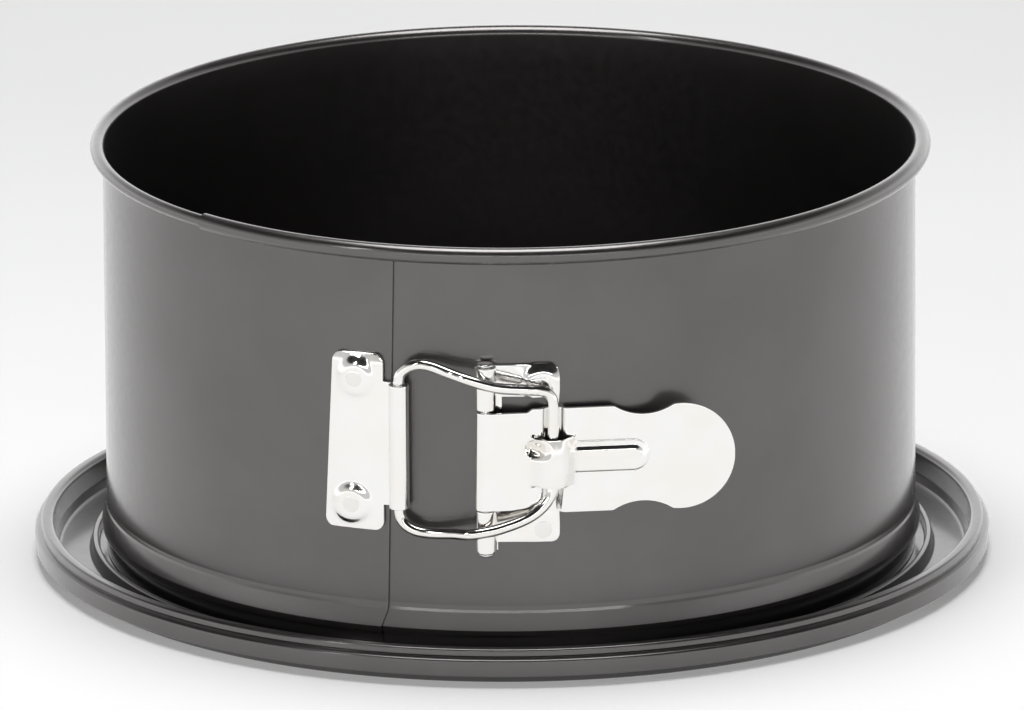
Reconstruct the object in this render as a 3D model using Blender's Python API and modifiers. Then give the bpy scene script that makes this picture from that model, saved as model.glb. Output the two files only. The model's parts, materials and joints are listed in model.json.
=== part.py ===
"""Springform pan, 20 cm across and 10 cm deep, as an assembly of separate pieces.

Metres, +Z up.  The origin is the middle of the base's underside.  The front of the pan, with
its latch, faces -Y, and azimuth is measured from the front towards +X.
"""
import math

import bmesh
import bpy
from mathutils import Matrix, Vector

MM = 0.001

# ---- Driving dimensions ------------------------------------------------------------------
BAND_INNER_R = 100.0 * MM        # inside radius of the closed ring
SHEET = 0.45 * MM                # thickness of the band's strip
LAYER_GAP = 0.15 * MM            # between the two layers where the strip overlaps itself
RIM_TOP_Z = 106.8 * MM           # top of the rolled rim
CURL_R = 1.9 * MM                # the rolled rim's centreline radius
LIP_Z = 2.5 * MM                 # lower edge of the strip, above the base's shoulder
INNER_END_AZ = -47.0             # free end of the inner layer, degrees
OUTER_END_AZ = 343.0             # free end of the outer layer, one turn on (-17)
SPREAD_START_AZ = 225.0          # from here the strip moves out to the outer layer
SPREAD_END_AZ = 305.0
AZ_STEP = 7.5                    # degrees between the strip's stations

BASE_R = 118.7 * MM              # outside radius of the base
BASE_SHEET = 0.9 * MM
PLATEAU_Z = 11.4 * MM            # top of the base inside the ring

LATCH_Z = 53.6 * MM              # mid-height of the bracket and the lever
HINGE_RISE = 2.6 * MM            # the hinge plate sits a little above that
PLATE = 1.0 * MM                 # thickness of the latch's sheet parts
SEAT_GAP = 0.3 * MM              # between a plate and the strip behind it
KNUCKLE_R = 1.9 * MM             # centreline radius of the hinge plate's knuckle
BARREL_R = 2.1 * MM              # centreline radius of the bracket's and the lever's barrels
WIRE_R = 1.25 * MM
PIN_R = 1.45 * MM
HINGE_X = -27.4 * MM             # the bail turns about a vertical line here
PIVOT_X = -6.3 * MM              # and the lever about one here
WIRE_SEAT = Vector((10.2 * MM, -104.2 * MM))   # middle of the wire in the lever's groove
LEVER_TILT = math.radians(9.5)   # the lever follows the round wall
PLATE_HALF_HEIGHT = 22.3 * MM
RIVET_HEAD_R = 2.2 * MM
RIVET_SHANK_R = 1.1 * MM
RIVET_HOLE_R = 1.3 * MM
RIVET_SEAT = 0.1 * MM            # between a rivet's head and its plate

# ---- Sizes that follow from them ---------------------------------------------------------
CENTRE_R = BAND_INNER_R + SHEET / 2            # the strip's centreline
INNER_FACE_OUT = BAND_INNER_R + SHEET          # outside of the inner layer
LAYER_STEP = SHEET + LAYER_GAP
OUTER_FACE_OUT = INNER_FACE_OUT + LAYER_STEP   # outside of the outer layer
HINGE_PLATE_R = OUTER_FACE_OUT + SEAT_GAP + PLATE / 2      # centreline of the hinge plate
BRACKET_R = INNER_FACE_OUT + SEAT_GAP + PLATE / 2          # centreline of the bracket
HINGE_Z = LATCH_Z + HINGE_RISE
BACK_HINGE_Y = BAND_INNER_R      # the band's two halves flex about its back


def point_on_circle(radius, azimuth):
    """A plan point at an azimuth in radians from the front."""
    return Vector((radius * math.sin(azimuth), -radius * math.cos(azimuth)))


def point_at_x(radius, x):
    """The front plan point of a circle about the pan's axis at a given x."""
    return Vector((x, -math.sqrt(radius * radius - x * x)))


HINGE_POINT = point_at_x(HINGE_PLATE_R + KNUCKLE_R, HINGE_X)
PIVOT_POINT = point_at_x(BRACKET_R + BARREL_R, PIVOT_X)

COLLECTION = "springform_pan"


# ---- Scene helpers -----------------------------------------------------------------------
def clear_scene():
    for item in list(bpy.data.objects):
        bpy.data.objects.remove(item, do_unlink=True)


def new_collection(name):
    collection = bpy.data.collections.new(name)
    bpy.context.scene.collection.children.link(collection)
    return collection


def material(name, colour, roughness, metallic):
    made = bpy.data.materials.new(name)
    made.use_nodes = True
    shader = made.node_tree.nodes["Principled BSDF"]
    shader.inputs["Base Color"].default_value = (*colour, 1.0)
    shader.inputs["Roughness"].default_value = roughness
    shader.inputs["Metallic"].default_value = metallic
    return made


def add_object(name, mesh, collection, finish=None):
    made = bpy.data.objects.new(name, mesh)
    collection.objects.link(made)
    if finish:
        mesh.materials.clear()
        mesh.materials.append(finish)
        mesh.shade_smooth()
        mesh.set_sharp_from_angle(angle=math.radians(35))
    return made


def curve_to_mesh(curve_object):
    """A closed mesh of a curve object, whose caps or fills are welded to its sides."""
    bpy.context.view_layer.update()
    graph = bpy.context.evaluated_depsgraph_get()
    mesh = bpy.data.meshes.new_from_object(curve_object.evaluated_get(graph))
    work = bmesh.new()
    work.from_mesh(mesh)
    bmesh.ops.remove_doubles(work, verts=work.verts, dist=1e-7)
    bmesh.ops.recalc_face_normals(work, faces=work.faces)
    work.to_mesh(mesh)
    work.free()
    bpy.data.objects.remove(curve_object, do_unlink=True)
    return mesh


def plate_mesh(name, outline, thickness, matrix):
    """A flat outline with thickness, centred on its plane, moved by a matrix."""
    curve = bpy.data.curves.new(name, "CURVE")
    curve.dimensions = "2D"
    curve.fill_mode = "BOTH"
    curve.extrude = thickness / 2
    spline = curve.splines.new("POLY")
    spline.points.add(len(outline) - 1)
    for point, place in zip(spline.points, outline):
        point.co = (place[0], place[1], 0.0, 1.0)
    spline.use_cyclic_u = True
    helper = bpy.data.objects.new(name + "_outline", curve)
    bpy.context.scene.collection.objects.link(helper)
    mesh = curve_to_mesh(helper)
    mesh.transform(matrix)
    return mesh


def turned_object(name, profile, steps, collection, finish):
    """A profile of (radius, height) points, top to bottom, turned about +Z."""
    mesh = bpy.data.meshes.new(name)
    edges = [(i, i + 1) for i in range(len(profile) - 1)]
    mesh.from_pydata([(radius, 0.0, height) for radius, height in profile], edges, [])
    made = add_object(name, mesh, collection, finish)
    screw = made.modifiers.new("turn", "SCREW")
    screw.axis = "Z"
    screw.steps = steps
    screw.render_steps = steps
    screw.use_merge_vertices = True
    screw.merge_threshold = 0.00001
    screw.use_smooth_shade = True
    return made


def combine(target, other, operation):
    """A Boolean whose second object is kept as a hidden guide."""
    other.hide_render = True
    other.display_type = "WIRE"
    cut = target.modifiers.new(operation.lower() + "_" + other.name, "BOOLEAN")
    cut.operation = operation
    cut.solver = "EXACT"
    cut.object = other


# ---- Outline helpers ---------------------------------------------------------------------
def arc(centre, radius, start, stop, segments):
    """Points round a centre; angles in degrees, anticlockwise from +X."""
    centre = Vector(centre)
    points = []
    for i in range(segments + 1):
        angle = math.radians(start + (stop - start) * i / segments)
        points.append(centre + radius * Vector((math.cos(angle), math.sin(angle))))
    return points


def path_normals(path):
    """Left-hand unit normals of an open path, stretched at corners to keep the width."""
    normals = []
    for i, point in enumerate(path):
        before = (point - path[i - 1]).normalized() if i else None
        after = (path[i + 1] - point).normalized() if i + 1 < len(path) else None
        first = before or after
        second = after or before
        middle = (first + second).normalized()
        stretch = 1.0 / max(0.5, middle.dot(first))
        normals.append(Vector((-middle.y, middle.x)) * stretch)
    return normals


def strip_outline(path, thickness):
    """The closed outline of a bent strip that follows a path."""
    normals = path_normals(path)
    left = [point + normal * thickness / 2 for point, normal in zip(path, normals)]
    right = [point - normal * thickness / 2 for point, normal in zip(path, normals)]
    return left + right[::-1]


def rounded_box(x0, x1, z0, z1, radius, segments=4):
    corners = [((x1 - radius, z1 - radius), 0), ((x0 + radius, z1 - radius), 90),
               ((x0 + radius, z0 + radius), 180), ((x1 - radius, z0 + radius), 270)]
    outline = []
    for centre, start in corners:
        outline += arc(centre, radius, start, start + 90, segments)
    return outline


def upright(depth):
    """Turns an outline in (x, z) to face -Y, centred at y = depth."""
    return Matrix.Translation((0, depth, 0)) @ Matrix.Rotation(math.radians(90), 4, "X")


def at_height(z):
    return Matrix.Translation((0, 0, z))


# ---- Base --------------------------------------------------------------------------------
def base_profile():
    """Section of the pressed base, from the middle of its top round to its underside."""
    plateau = PLATEAU_Z / MM
    top = [(0, plateau), (98.6, plateau), (99.7, plateau - 0.25), (100.4, plateau - 0.7),
           (100.65, plateau - 1.2), (100.4, plateau - 1.7), (99.6, plateau - 2.4),
           (99.4, plateau - 3.0), (99.4, 2.5), (99.7, 2.2), (102.6, 2.2), (103.0, 3.6),
           (103.3, 4.2), (103.8, 4.4), (104.3, 4.2), (104.7, 3.4), (104.9, 1.4),
           (105.3, 0.9), (112.2, 0.9), (113.2, 1.2), (113.8, 2.0), (114.0, 3.4)]
    bead = [(114.1, 7.4), (114.5, 8.6), (115.2, 9.3), (116.1, 9.4), (116.9, 8.9),
            (117.3, 8.0), (117.2, 7.1), (116.9, 6.5)]
    band = [(117.8, 6.2), (118.5, 5.8), (BASE_R / MM, 5.2), (BASE_R / MM, 3.1),
            (118.4, 2.6), (117.8, 2.6)]
    under = [(117.7, 4.9), (116.7, 5.3), (115.9, 6.0), (116.2, 7.1), (116.2, 7.9),
             (115.8, 8.4), (115.3, 8.2), (115.0, 7.4), (114.9, 2.2), (114.2, 0.7),
             (112.8, 0.0), (104.9, 0.0), (104.1, 0.4), (104.0, 3.2), (103.8, 3.4),
             (103.6, 3.2), (103.4, 1.4), (99.2, 1.3), (98.5, 1.8), (98.4, plateau - 1.7),
             (97.8, plateau - 0.9), (0, (PLATEAU_Z - BASE_SHEET) / MM)]
    return [(r * MM, z * MM) for r, z in top + bead + band + under]


def build_base(collection, finish):
    return turned_object("base_plate", base_profile(), 48, collection, finish)


# ---- Ring band ---------------------------------------------------------------------------
def band_centreline():
    """The strip's section as (r, z) points, from its lower lip up and round the rolled rim."""
    bead = [(0.0, 8.8), (0.35, 9.1), (1.05, 9.55), (1.25, 10.1), (1.05, 10.9),
            (0.35, 12.7), (0.0, 13.5)]
    points = [Vector((CENTRE_R, LIP_Z))]
    points += [Vector((CENTRE_R + out * MM, z * MM)) for out, z in bead]
    curl_centre = (CENTRE_R + CURL_R, RIM_TOP_Z - CURL_R - SHEET / 2)
    points.append(Vector((CENTRE_R, LATCH_Z)))
    points += arc(curl_centre, CURL_R, 180, -115, 14)
    return points


def layer_offset(azimuth):
    """How far the strip has moved out of the inner layer's place at an azimuth."""
    share = (azimuth - SPREAD_START_AZ) / (SPREAD_END_AZ - SPREAD_START_AZ)
    share = min(1.0, max(0.0, share))
    return LAYER_STEP * share * share * (3 - 2 * share)


def build_band(collection, finish):
    """One strip, lofted round the pan, whose section moves outwards along its length."""
    path = band_centreline()
    # the outward side of the wall is the right-hand side of the upward path
    outward = [-normal for normal in path_normals(path)]
    stations = round((OUTER_END_AZ - INNER_END_AZ) / AZ_STEP)
    work = bmesh.new()
    rings = []
    for i in range(stations + 1):
        azimuth = INNER_END_AZ + AZ_STEP * i
        offset = layer_offset(azimuth)
        outer = [p + n * (offset + SHEET / 2) for p, n in zip(path, outward)]
        inner = [p + n * (offset - SHEET / 2) for p, n in zip(path, outward)]
        ring = []
        for radius, height in outer + inner[::-1]:
            plan = point_on_circle(radius, math.radians(azimuth))
            ring.append(work.verts.new((plan.x, plan.y, height)))
        rings.append(ring)
    count = len(rings[0])
    for ring, following in zip(rings, rings[1:]):
        for j in range(count):
            k = (j + 1) % count
            work.faces.new((ring[j], ring[k], following[k], following[j]))
    work.faces.new(rings[0])
    work.faces.new(rings[-1][::-1])
    bmesh.ops.recalc_face_normals(work, faces=work.faces)
    mesh = bpy.data.meshes.new("ring_band")
    work.to_mesh(mesh)
    work.free()
    return add_object("ring_band", mesh, collection, finish)


def faceted_radius(radius, azimuth):
    """Radius of the band's flat facet at an azimuth in degrees, for a nominal radius."""
    from_station = (azimuth - INNER_END_AZ) % AZ_STEP
    from_middle = from_station - AZ_STEP / 2
    return radius * math.cos(math.radians(AZ_STEP / 2)) / math.cos(math.radians(from_middle))


# ---- Rivets ------------------------------------------------------------------------------
def radial_matrix(azimuth, height):
    """Local +Z points outwards from the pan's axis at an azimuth and a height."""
    turn = Matrix.Rotation(azimuth, 4, "Z") @ Matrix.Rotation(math.radians(90), 4, "X")
    return Matrix.Translation((0, 0, height)) @ turn


def build_rivet(name, azimuth, height, face_r, end_r, collection, finish):
    """Headed rivet; face_r is the plate's outer face and end_r its flush inner end."""
    seat = face_r + RIVET_SEAT
    profile = [(0, seat + 0.5 * MM), (1.2 * MM, seat + 0.48 * MM),
               (1.9 * MM, seat + 0.35 * MM), (RIVET_HEAD_R, seat + 0.1 * MM),
               (RIVET_HEAD_R, seat), (RIVET_SHANK_R, seat), (RIVET_SHANK_R, end_r),
               (0, end_r)]
    made = turned_object(name, profile, 20, collection, finish)
    made.matrix_world = radial_matrix(azimuth, height)
    return made


def rivet_cutter(name, azimuth, height, start_r, stop_r, cutters):
    """A radial cylinder that makes the holes of one rivet."""
    bpy.ops.mesh.primitive_cylinder_add(vertices=20, radius=RIVET_HOLE_R,
                                        depth=stop_r - start_r)
    made = bpy.context.object
    made.name = name
    for other in list(made.users_collection):
        other.objects.unlink(made)
    cutters.objects.link(made)
    middle = Matrix.Translation((0, 0, (start_r + stop_r) / 2))
    made.matrix_world = radial_matrix(azimuth, height) @ middle
    return made


# ---- Bent sheet parts --------------------------------------------------------------------
def front_cutter(name, outline, matrix, cutters, depth=60 * MM):
    """A prism with a front-view outline, long enough to pass through the latch."""
    return add_object(name, plate_mesh(name, outline, depth, matrix), cutters)


def plan_arc(radius, from_azimuth, to_azimuth, segments):
    points = []
    for i in range(segments + 1):
        azimuth = from_azimuth + (to_azimuth - from_azimuth) * i / segments
        points.append(point_on_circle(radius, azimuth))
    return points


def curl_path(centre, radius, start_side, direction, sweep, segments=20):
    """A roll about a centre that starts at the side nearest the pan's axis."""
    start = math.degrees(math.atan2(start_side.y, start_side.x))
    return arc(centre, radius, start, start + direction * sweep, segments)


def build_hinge_plate(collection, cutters, finish):
    left_x = -44.3 * MM
    plate_right_x = -31.2 * MM
    tab_half = 15.65 * MM
    left_azimuth = math.asin(left_x / HINGE_PLATE_R)
    hinge_azimuth = math.atan2(HINGE_POINT.x, -HINGE_POINT.y)
    path = plan_arc(HINGE_PLATE_R, left_azimuth, hinge_azimuth, 8)
    # the sheet runs past the hinge point and rolls clockwise round it, seen from above
    path += curl_path(HINGE_POINT, KNUCKLE_R, -HINGE_POINT, -1, 292)[1:]
    mesh = plate_mesh("hinge_plate", strip_outline(path, PLATE), 2 * PLATE_HALF_HEIGHT,
                      at_height(HINGE_Z))
    made = add_object("hinge_plate", mesh, collection, finish)
    half = PLATE_HALF_HEIGHT
    corner = 2.5 * MM
    # plate with round corners, then the narrower tab that carries the knuckle
    outline = arc((left_x + corner, half - corner), corner, 180, 90, 4)
    outline += arc((plate_right_x - corner, half - corner), corner, 90, 0, 4)
    outline += [Vector((plate_right_x, tab_half)), Vector((-20 * MM, tab_half)),
                Vector((-20 * MM, -tab_half)), Vector((plate_right_x, -tab_half))]
    outline += arc((plate_right_x - corner, corner - half), corner, 0, -90, 4)
    outline += arc((left_x + corner, corner - half), corner, -90, -180, 4)
    matrix = at_height(HINGE_Z) @ upright(-BAND_INNER_R)
    combine(made, front_cutter("hinge_plate_front", outline, matrix, cutters), "INTERSECT")
    return made


def build_bracket(collection, cutters, finish):
    right_x = 12.0 * MM
    spine_left_x = -3.1 * MM
    notch_left_x = 2.6 * MM
    barrel_inner = 12.9 * MM
    barrel_outer = 23.6 * MM
    barrel_right_x = -3.5 * MM
    plate_bottom = -21.6 * MM
    notch_half = 13.7 * MM
    right_azimuth = math.asin(right_x / BRACKET_R)
    pivot_azimuth = math.atan2(PIVOT_POINT.x, -PIVOT_POINT.y)
    path = plan_arc(BRACKET_R, right_azimuth, pivot_azimuth, 8)
    path += curl_path(PIVOT_POINT, BARREL_R, -PIVOT_POINT, 1, 292)[1:]
    mesh = plate_mesh("lever_bracket", strip_outline(path, PLATE), 2 * barrel_outer,
                      at_height(LATCH_Z))
    made = add_object("lever_bracket", mesh, collection, finish)
    corner = 2.5 * MM
    upright_at_latch = at_height(LATCH_Z) @ upright(-BAND_INNER_R)
    # the plate stops short of the lower barrel's end
    outline = arc((right_x - corner, barrel_outer - corner), corner, 0, 90, 4)
    outline += [Vector((-20 * MM, barrel_outer)), Vector((-20 * MM, -barrel_outer)),
                Vector((barrel_right_x, -barrel_outer)),
                Vector((barrel_right_x, plate_bottom))]
    outline += arc((right_x - corner, plate_bottom + corner), corner, -90, 0, 4)
    combine(made, front_cutter("bracket_front", outline, upright_at_latch, cutters),
            "INTERSECT")
    # room for the lever's barrel, left of the spine, and for its trough, right of it
    barrel_gap = rounded_box(-20 * MM, spine_left_x, -barrel_inner, barrel_inner, 0.5 * MM)
    combine(made, front_cutter("bracket_barrel_gap", barrel_gap, upright_at_latch, cutters),
            "DIFFERENCE")
    notch = rounded_box(notch_left_x, 25 * MM, -notch_half, notch_half, 1.5 * MM)
    combine(made, front_cutter("bracket_notch", notch, upright_at_latch, cutters),
            "DIFFERENCE")
    return made


def lever_front_outline():
    """Front view in the lever's own frame: x from the pivot, z from its mid-height."""
    left_x = -4.0 * MM
    half = 12.3 * MM
    shoulder_x = 9.9 * MM
    wide_half = 12.9 * MM
    notch_left = Vector((31.5 * MM, wide_half))
    notch_right_x = 46.0 * MM
    paddle_centre_x = 48.9 * MM
    paddle_r = 13.2 * MM
    neck_r = 12.0 * MM
    corner = 1.2 * MM
    reach = notch_right_x - paddle_centre_x
    notch_right = Vector((notch_right_x, math.sqrt(paddle_r ** 2 - reach ** 2)))
    # the neck's arc passes through both ends of the notch and bulges inwards
    chord = notch_right - notch_left
    middle = (notch_left + notch_right) / 2
    rise = math.sqrt(neck_r ** 2 - (chord.length / 2) ** 2)
    centre = middle + Vector((-chord.y, chord.x)).normalized() * rise
    start = math.degrees(math.atan2(*(notch_left - centre).yx))
    stop = math.degrees(math.atan2(*(notch_right - centre).yx))
    upper = arc((left_x + corner, half - corner), corner, 180, 90, 3)
    upper += [Vector((shoulder_x - 0.6 * MM, half)), Vector((shoulder_x, wide_half))]
    upper += arc(centre, neck_r, start, stop, 8)
    first = math.degrees(math.atan2(notch_right.y, reach))
    upper += arc((paddle_centre_x, 0), paddle_r, first, 0, 14)[1:]
    lower = [Vector((p.x, -p.y)) for p in upper[-2::-1]]
    return upper + lower


def build_lever(collection, cutters, finish):
    """Stamped lever: a barrel on the pin, a trough and a bridge for the wire, a handle."""
    flat_y = -BARREL_R
    end_x = 64.0 * MM
    place = (Matrix.Translation((PIVOT_POINT.x, PIVOT_POINT.y, LATCH_Z))
             @ Matrix.Rotation(LEVER_TILT, 4, "Z"))
    # the barrel's free end comes round under the flat; the flat leaves it on the far side
    path = arc((0, 0), BARREL_R, 22, 270, 18)
    # the trough is longer towards the pivot than the wire is thick: the wire's play
    trough = [(9.9, flat_y / MM), (10.35, 0.0), (13.8, 0.0), (17.7, -1.75),
              (18.6, flat_y / MM)]
    path += [Vector((x * MM, y * MM)) for x, y in trough]
    path.append(Vector((end_x, flat_y)))
    mesh = plate_mesh("latch_lever", strip_outline(path, PLATE), 28 * MM, Matrix.Identity(4))
    made = add_object("latch_lever", mesh, collection, finish)
    made.matrix_world = place
    front = place @ upright(0)
    outline = front_cutter("lever_front", lever_front_outline(), front, cutters)
    combine(made, outline, "INTERSECT")
    bridge_half = 6.0 * MM
    window = rounded_box(9.2 * MM, 18.9 * MM, -bridge_half - 0.3 * MM,
                         bridge_half + 0.3 * MM, 0.4 * MM)
    combine(made, front_cutter("lever_window", window, front, cutters), "DIFFERENCE")
    # the bridge stands over the wire; its ends run inside the flats on both sides
    bridge_y = -5.75
    strap_t = 0.9 * MM
    strap = [(6.5, -2.1), (9.0, -2.1), (10.1, -3.2), (10.5, -5.0), (11.4, bridge_y),
             (17.6, bridge_y), (18.5, -5.0), (18.9, -3.2), (20.0, -2.1), (22.5, -2.1)]
    strap_path = [Vector((x * MM, y * MM)) for x, y in strap]
    bridge = plate_mesh("lever_bridge", strip_outline(strap_path, strap_t), 2 * bridge_half,
                        Matrix.Identity(4))
    bridge_object = add_object("lever_bridge", bridge, cutters)
    bridge_object.matrix_world = place
    combine(made, bridge_object, "UNION")
    # a raised rib stiffens the handle
    rib_start, rib_end, rib_half, rib_height = 24 * MM, 40.2 * MM, 4.0 * MM, 0.5 * MM
    rib_outline = rounded_box(rib_start, rib_end, -rib_half, rib_half, 3.9 * MM, 6)
    rib_middle = flat_y - PLATE / 2 - rib_height / 2 + 0.15 * MM
    rib = plate_mesh("lever_rib", rib_outline, rib_height + 0.3 * MM, upright(rib_middle))
    rib_object = add_object("lever_rib", rib, cutters)
    rib_object.matrix_world = place
    combine(made, rib_object, "UNION")
    return made


# ---- Pin and wire ------------------------------------------------------------------------
def build_pivot_pin(collection, finish):
    """Pin through the bracket's barrels, with a peened head at each end."""
    half = 23.75 * MM
    head_r = 2.1 * MM
    head = 0.7 * MM
    edge = 0.2 * MM
    profile = [(0, half + head), (head_r - edge, half + head), (head_r, half + head - edge),
               (head_r, half), (PIN_R, half), (PIN_R, -half), (head_r, -half),
               (head_r, -half - head + edge), (head_r - edge, -half - head),
               (0, -half - head)]
    made = turned_object("pivot_pin", profile, 24, collection, finish)
    made.location = (PIVOT_POINT.x, PIVOT_POINT.y, LATCH_Z)
    return made


def smooth_route(points, samples):
    """Points read from a smooth curve through a route's own points."""
    route = []
    last = len(points) - 1
    for i in range(last):
        p0 = points[max(i - 1, 0)]
        p1 = points[i]
        p2 = points[i + 1]
        p3 = points[min(i + 2, last)]
        for s in range(samples):
            t = s / samples
            route.append(0.5 * ((2 * p1) + (p2 - p0) * t
                                + (2 * p0 - 5 * p1 + 4 * p2 - p3) * t * t
                                + (3 * p1 - p0 - 3 * p2 + p3) * t ** 3))
    route.append(points[last])
    return route


def bail_route():
    """The wire's middle line from its end in the knuckle, round the lever and back."""
    knuckle_half = 17.4
    top_rise = 2.9
    seat_half = 12.9
    hinge = HINGE_POINT / MM
    seat = WIRE_SEAT / MM
    rise = HINGE_RISE / MM
    # the arms bow outwards to clear the bracket's barrels
    bow_y = PIVOT_POINT.y / MM - BARREL_R / MM - PLATE / MM / 2 - WIRE_R / MM - 0.45
    arm = [(hinge.x, hinge.y, rise + 0.25), (hinge.x, hinge.y, rise + 9.0),
           (hinge.x, hinge.y, rise + knuckle_half - 1.2),
           (hinge.x + 0.9, hinge.y - 0.2, rise + knuckle_half + 1.7),
           (hinge.x + 4.2, hinge.y - 1.6, rise + knuckle_half + top_rise),
           (hinge.x + 10.5, hinge.y - 4.7, rise + knuckle_half + 1.7),
           (PIVOT_POINT.x / MM - 4.2, bow_y + 0.1, 19.9),
           (PIVOT_POINT.x / MM + 1.0, bow_y, 19.0),
           (1.5, bow_y + 0.9, 18.3),
           (6.2, -105.3, 17.4),
           (seat.x - 0.8, seat.y - 0.1, 15.8),
           (seat.x, seat.y, seat_half),
           (seat.x, seat.y, 6.5)]
    upper = [Vector(point) for point in arm]
    lower = [Vector((p.x, p.y, 2 * rise * hinge_share(p, hinge, seat) - p.z)) for p in upper]
    whole = upper + [Vector((seat.x, seat.y, 0.0))] + lower[::-1]
    return [Vector((p.x * MM, p.y * MM, p.z * MM + LATCH_Z)) for p in whole]


def hinge_share(point, hinge, seat):
    """How much of the hinge plate's rise holds at a point between the hinge and the seat."""
    return min(1.0, max(0.0, (seat.x - point.x) / (seat.x - hinge.x)))


def build_bail(collection, finish):
    hinge = Vector((HINGE_POINT.x, HINGE_POINT.y, 0))
    curve = bpy.data.curves.new("bail_wire", "CURVE")
    curve.dimensions = "3D"
    curve.bevel_depth = WIRE_R
    curve.bevel_resolution = 2
    curve.use_fill_caps = True
    route = smooth_route(bail_route(), 3)
    spline = curve.splines.new("POLY")
    spline.points.add(len(route) - 1)
    for point, place in zip(spline.points, route):
        point.co = (*(place - hinge), 1.0)
    helper = bpy.data.objects.new("bail_wire_curve", curve)
    bpy.context.scene.collection.objects.link(helper)
    made = add_object("bail_wire", curve_to_mesh(helper), collection, finish)
    made.location = hinge
    return made


# ---- Assembly ----------------------------------------------------------------------------
def axis_empty(name, place, parent, collection):
    empty = bpy.data.objects.new(name, None)
    collection.objects.link(empty)
    empty.location = place
    empty.parent = parent
    return empty


def attach(children, parent):
    """Parents objects to an empty and leaves them where they stand in the world."""
    bpy.context.view_layer.update()
    for child in children:
        child.parent = parent
        child.matrix_parent_inverse = parent.matrix_world.inverted()


def main():
    clear_scene()
    parts = new_collection(COLLECTION)
    cutters = new_collection("cutters")
    coated = material("nonstick_coating", (0.075, 0.073, 0.070), 0.42, 0.35)
    base_finish = material("base_coating", (0.060, 0.060, 0.062), 0.40, 0.35)
    nickel = material("nickel_plate", (0.74, 0.72, 0.69), 0.18, 1.0)
    wire_finish = material("nickel_wire", (0.72, 0.71, 0.69), 0.16, 1.0)
    rivet_finish = material("rivet_steel", (0.66, 0.65, 0.63), 0.24, 1.0)

    build_base(parts, base_finish)
    band = build_band(parts, coated)
    hinge_plate = build_hinge_plate(parts, cutters, nickel)
    bracket = build_bracket(parts, cutters, nickel)
    lever = build_lever(parts, cutters, nickel)
    pin = build_pivot_pin(parts, rivet_finish)
    bail = build_bail(parts, wire_finish)

    hinge_azimuth = -22.1
    bracket_azimuth = 4.3
    rivet_spread = 16.0 * MM
    bracket_spread = 18.4 * MM
    mid_gap = INNER_FACE_OUT + LAYER_GAP / 2
    hinge_rivets = []
    bracket_rivets = []
    for word, side in (("upper", 1), ("lower", -1)):
        height = HINGE_Z + side * rivet_spread
        angle = math.radians(hinge_azimuth)
        face = HINGE_PLATE_R + PLATE / 2
        start = faceted_radius(mid_gap, hinge_azimuth)
        end = faceted_radius(INNER_FACE_OUT + LAYER_GAP + SHEET / 3, hinge_azimuth)
        hole = rivet_cutter("hinge_hole_" + word, angle, height, start, face + PLATE, cutters)
        combine(band, hole, "DIFFERENCE")
        combine(hinge_plate, hole, "DIFFERENCE")
        hinge_rivets.append(build_rivet("hinge_rivet_" + word, angle, height, face, end,
                                        parts, rivet_finish))
        height = LATCH_Z + side * bracket_spread
        angle = math.radians(bracket_azimuth)
        face = BRACKET_R + PLATE / 2
        end = faceted_radius(BAND_INNER_R + SHEET / 3, bracket_azimuth)
        hole = rivet_cutter("bracket_hole_" + word, angle, height, BAND_INNER_R - PLATE,
                            face + PLATE, cutters)
        combine(band, hole, "DIFFERENCE")
        combine(bracket, hole, "DIFFERENCE")
        bracket_rivets.append(build_rivet("bracket_rivet_" + word, angle, height, face, end,
                                          parts, rivet_finish))

    lift_axis = axis_empty("ring_lift_axis", (0, 0, 0), None, parts)
    open_axis = axis_empty("band_open_axis", (0, BACK_HINGE_Y, 0), lift_axis, parts)
    attach([band, bracket, pin] + bracket_rivets + [lever], lift_axis)
    attach([hinge_plate, bail] + hinge_rivets, open_axis)


main()
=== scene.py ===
"""Looks of the springform pan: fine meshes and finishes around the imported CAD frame.

Metres, +Z up, the latch at -Y.  Azimuth is measured from the front towards +X, in degrees.
"""
import json
import math

import bmesh
import bpy
from mathutils import Matrix, Vector


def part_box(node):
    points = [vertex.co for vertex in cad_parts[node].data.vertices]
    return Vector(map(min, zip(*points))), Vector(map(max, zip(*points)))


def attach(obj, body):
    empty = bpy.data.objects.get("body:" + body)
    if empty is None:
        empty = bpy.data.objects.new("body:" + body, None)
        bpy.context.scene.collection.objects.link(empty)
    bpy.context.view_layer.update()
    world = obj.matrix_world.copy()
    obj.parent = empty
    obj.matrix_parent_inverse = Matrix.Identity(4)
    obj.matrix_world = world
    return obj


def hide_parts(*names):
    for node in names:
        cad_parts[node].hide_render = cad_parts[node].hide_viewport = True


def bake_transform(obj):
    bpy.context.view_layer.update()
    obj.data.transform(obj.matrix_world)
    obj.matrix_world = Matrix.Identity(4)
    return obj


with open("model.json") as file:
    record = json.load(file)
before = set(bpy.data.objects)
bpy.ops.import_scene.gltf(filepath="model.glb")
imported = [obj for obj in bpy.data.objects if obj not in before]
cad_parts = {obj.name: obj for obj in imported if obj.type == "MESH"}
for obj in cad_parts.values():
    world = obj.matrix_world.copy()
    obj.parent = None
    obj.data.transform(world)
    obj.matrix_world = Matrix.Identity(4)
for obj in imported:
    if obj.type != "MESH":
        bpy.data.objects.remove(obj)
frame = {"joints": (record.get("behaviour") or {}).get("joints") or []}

MM = 0.001
JOINTS = {joint["name"]: joint for joint in frame["joints"]}
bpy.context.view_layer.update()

# ---- Sizes, as the CAD has them ----------------------------------------------------------
BAND_INNER_R = 100.0 * MM
SHEET = 0.45 * MM
LAYER_GAP = 0.15 * MM
LAYER_STEP = SHEET + LAYER_GAP
CENTRE_R = BAND_INNER_R + SHEET / 2
INNER_FACE_OUT = BAND_INNER_R + SHEET
OUTER_FACE_OUT = INNER_FACE_OUT + LAYER_STEP
RIM_TOP_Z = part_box("ring_band")[1].z
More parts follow.
